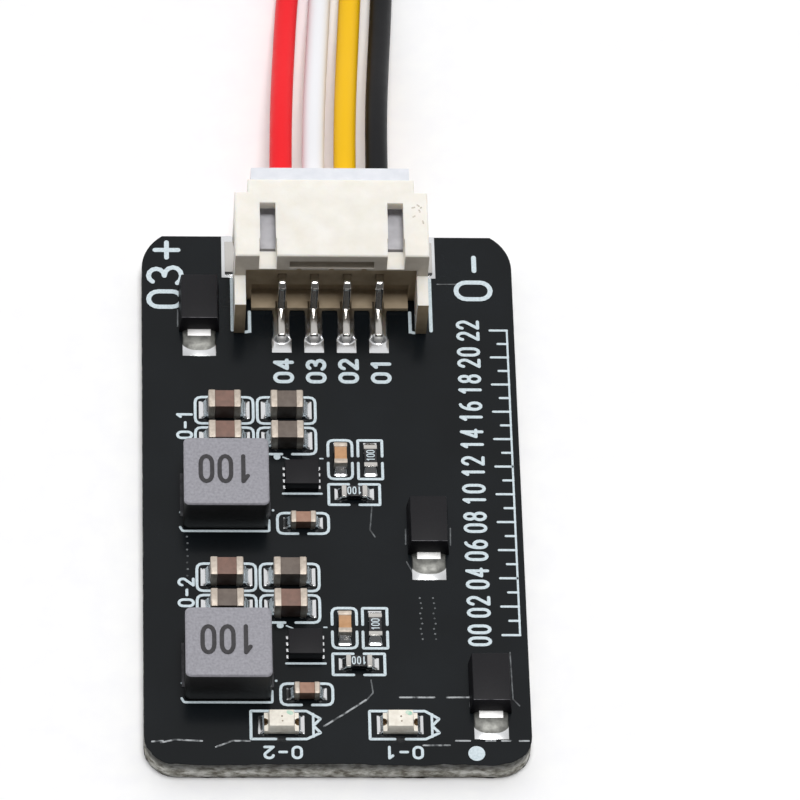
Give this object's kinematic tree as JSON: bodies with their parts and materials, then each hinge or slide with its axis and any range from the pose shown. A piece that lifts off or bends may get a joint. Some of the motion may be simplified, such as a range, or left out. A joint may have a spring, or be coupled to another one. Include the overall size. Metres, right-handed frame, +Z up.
{
  "type": "battery balancer circuit board",
  "caption": "Small black circuit board with moulded inductors, chip parts, diodes and indicator lamps, and a side-entry header holding the plug of a flying lead.",
  "frame": {"origin": "middle of the circuit board's flat underside", "axes": "+X across the board, +Y along it towards the header and its lead, +Z up out of the component side"},
  "size_m": [0.029, 0.0883, 0.0068],
  "materials": {
    "board_laminate": "black solder mask over woven laminate",
    "white_ink": "printed epoxy ink",
    "solder": "tinned, bright",
    "cream_nylon": "moulded, fine satin",
    "white_nylon": "moulded, slightly translucent",
    "tinned_brass": "bright tin over brass",
    "red_pvc": "extruded, smooth",
    "white_pvc": "extruded, smooth",
    "yellow_pvc": "extruded, smooth",
    "black_pvc": "extruded, smooth",
    "tinned_copper": "tinned strands",
    "moulded_ferrite": "grey painted top on pressed iron powder",
    "capacitor_ceramic": "fired brown ceramic with tinned ends",
    "resistor_ceramic": "alumina under black glass with tinned ends",
    "chip_epoxy": "moulded epoxy",
    "diode_epoxy": "moulded epoxy",
    "lamp_resin": "cast clear resin over a cream board"
  },
  "bodies": {
    "root": {"balancer_chip_1": "chip_epoxy", "balancer_chip_2": "chip_epoxy", "black_wire": "black_pvc", "black_wire_tip": "tinned_copper", "black_wire_turns": "black_pvc", "bridge_resistor_1": "resistor_ceramic", "bridge_resistor_2": "resistor_ceramic", "circuit_board": "board_laminate", "crimp_contact_1": "tinned_brass", "crimp_contact_2": "tinned_brass", "crimp_contact_3": "tinned_brass", "crimp_contact_4": "tinned_brass", "diode_front": "diode_epoxy", "diode_front_leads": "tinned_brass", "diode_middle": "diode_epoxy", "diode_middle_leads": "tinned_brass", "diode_rear": "diode_epoxy", "diode_rear_leads": "tinned_brass", "header_housing": "cream_nylon", "header_pin_1": "tinned_brass", "header_pin_2": "tinned_brass", "header_pin_3": "tinned_brass", "header_pin_4": "tinned_brass", "hold_down_tab_left": "tinned_brass", "hold_down_tab_right": "tinned_brass", "indicator_lamp_left": "lamp_resin", "indicator_lamp_right": "lamp_resin", "inductor_straps_1": "tinned_brass", "inductor_straps_2": "tinned_brass", "input_capacitor_1": "capacitor_ceramic", "input_capacitor_2": "capacitor_ceramic", "outline_print": "white_ink", "plug_housing": "white_nylon", "power_inductor_1": "moulded_ferrite", "power_inductor_2": "moulded_ferrite", "printed_dot": "white_ink", "red_wire": "red_pvc", "red_wire_tip": "tinned_copper", "red_wire_turns": "red_pvc", "storage_capacitor_1_front_1": "capacitor_ceramic", "storage_capacitor_1_front_2": "capacitor_ceramic", "storage_capacitor_1_rear_1": "capacitor_ceramic", "storage_capacitor_1_rear_2": "capacitor_ceramic", "storage_capacitor_2_front_1": "capacitor_ceramic", "storage_capacitor_2_front_2": "capacitor_ceramic", "storage_capacitor_2_rear_1": "capacitor_ceramic", "storage_capacitor_2_rear_2": "capacitor_ceramic", "tinned_pads": "solder", "tuning_capacitor_1": "capacitor_ceramic", "tuning_capacitor_2": "capacitor_ceramic", "tuning_resistor_1": "resistor_ceramic", "tuning_resistor_2": "resistor_ceramic", "white_wire": "white_pvc", "white_wire_tip": "tinned_copper", "white_wire_turns": "white_pvc", "yellow_wire": "yellow_pvc", "yellow_wire_tip": "tinned_copper", "yellow_wire_turns": "yellow_pvc"}
  },
  "joints": []
}
